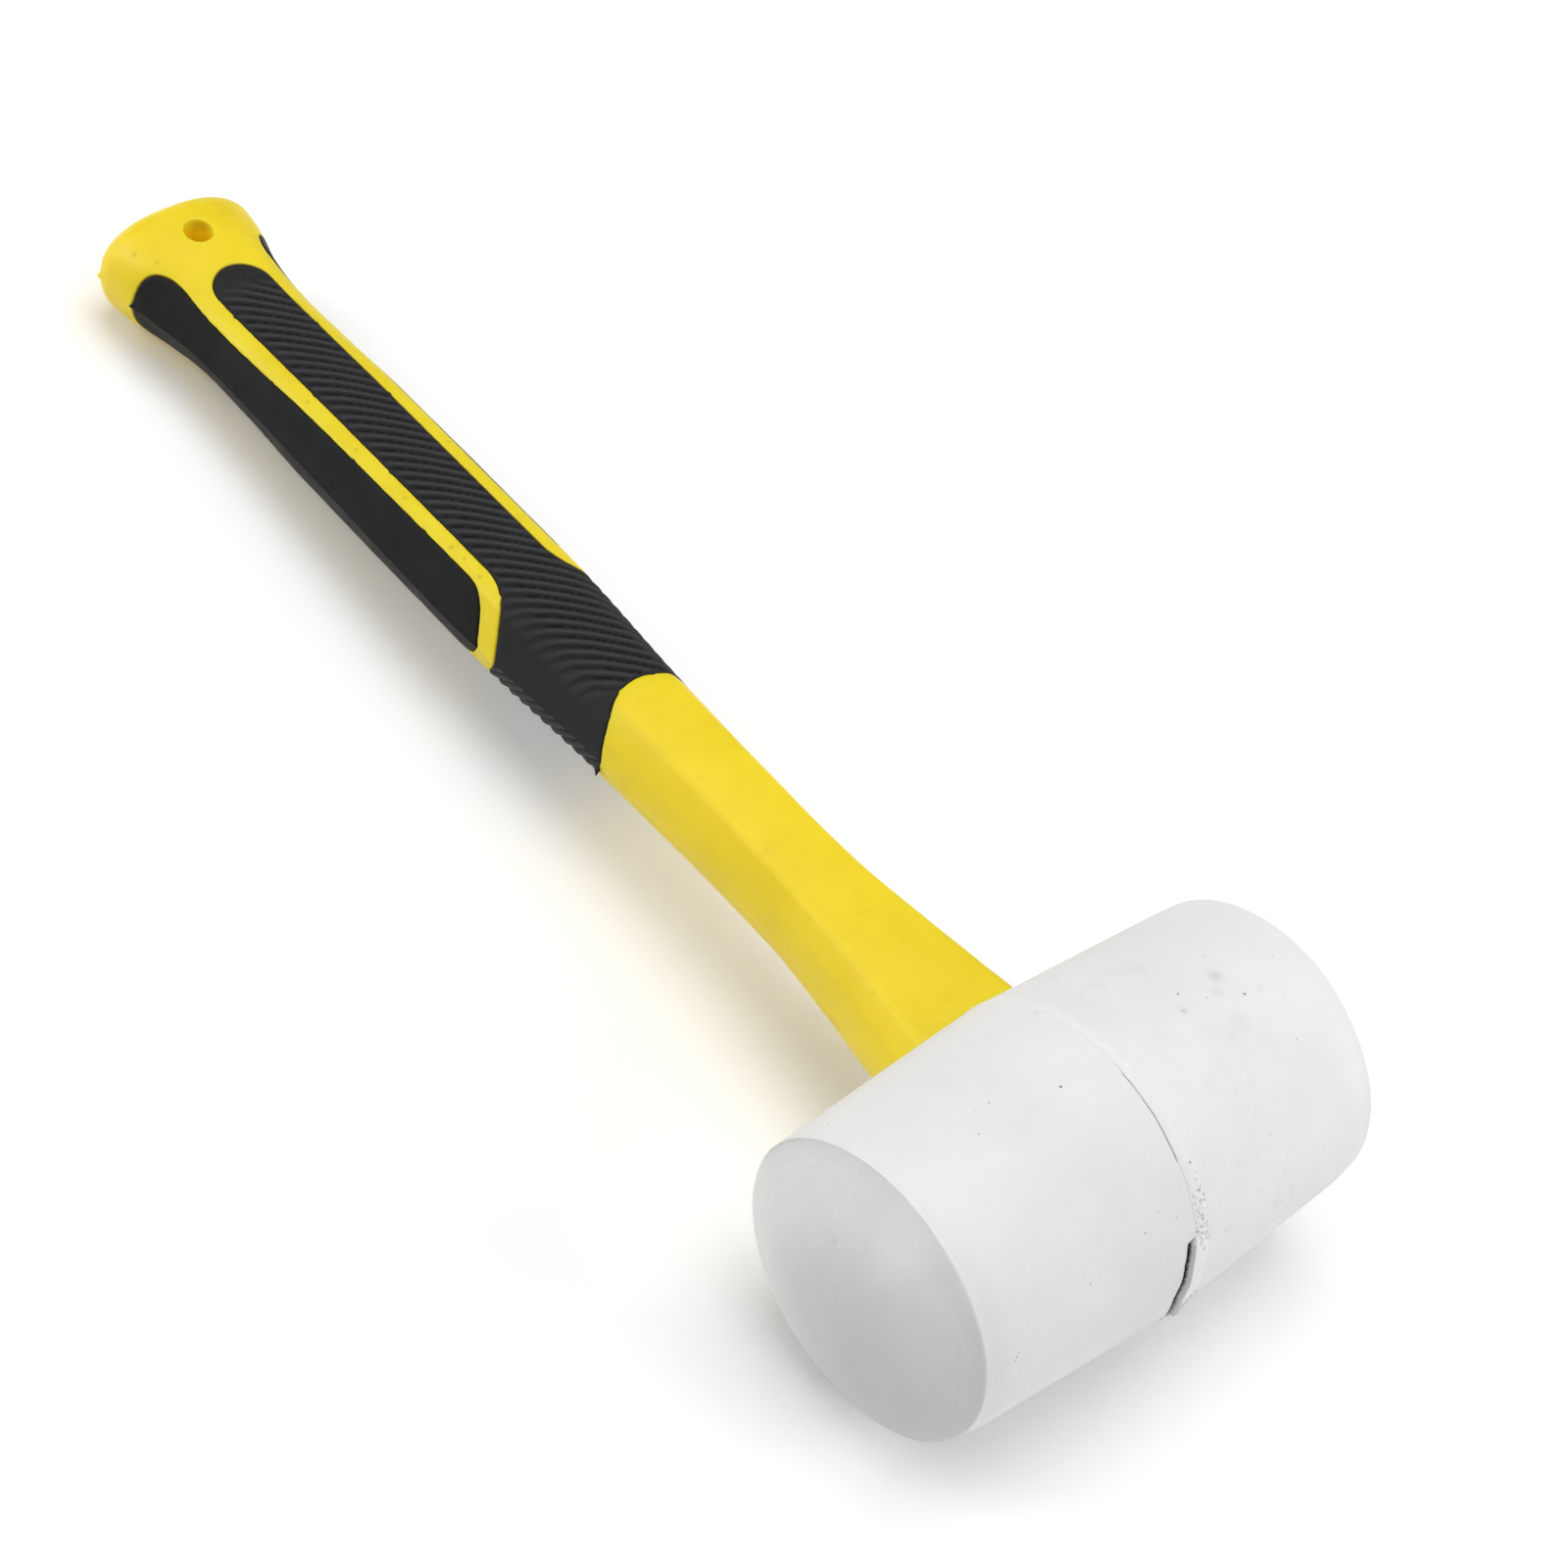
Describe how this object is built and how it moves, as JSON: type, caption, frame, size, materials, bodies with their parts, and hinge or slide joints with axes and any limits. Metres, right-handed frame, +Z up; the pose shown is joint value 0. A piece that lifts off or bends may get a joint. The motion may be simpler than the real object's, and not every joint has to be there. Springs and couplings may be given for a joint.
{
  "type": "rubber mallet",
  "caption": "Rubber mallet with a white double-tapered barrel head and a yellow plastic handle with black ribbed and smooth soft grip panels and a hang hole.",
  "frame": {"origin": "on the floor, under the middle of the mallet's bounding box, with the mallet lying on its side", "axes": "+Z up out of the upper cheek, +Y along the handle from the head towards the butt, +X along the head's axis towards one striking face; the handle slopes down 4.2 degrees towards the butt"},
  "size_m": [0.1, 0.295, 0.0606],
  "materials": {
    "white_rubber": "matt, faintly chalky off-white moulded rubber",
    "yellow_plastic": "satin moulded polypropylene, warm yellow",
    "black_grip": "soft black thermoplastic rubber with a low sheen",
    "fibreglass": "pale resin-bonded glass fibre"
  },
  "bodies": {
    "root": {"rubber_head": "white_rubber", "handle_jacket": "yellow_plastic", "fibreglass_core": "fibreglass", "ribbed_grip": "black_grip", "front_grip_panel": "black_grip", "rear_grip_panel": "black_grip"}
  },
  "joints": []
}
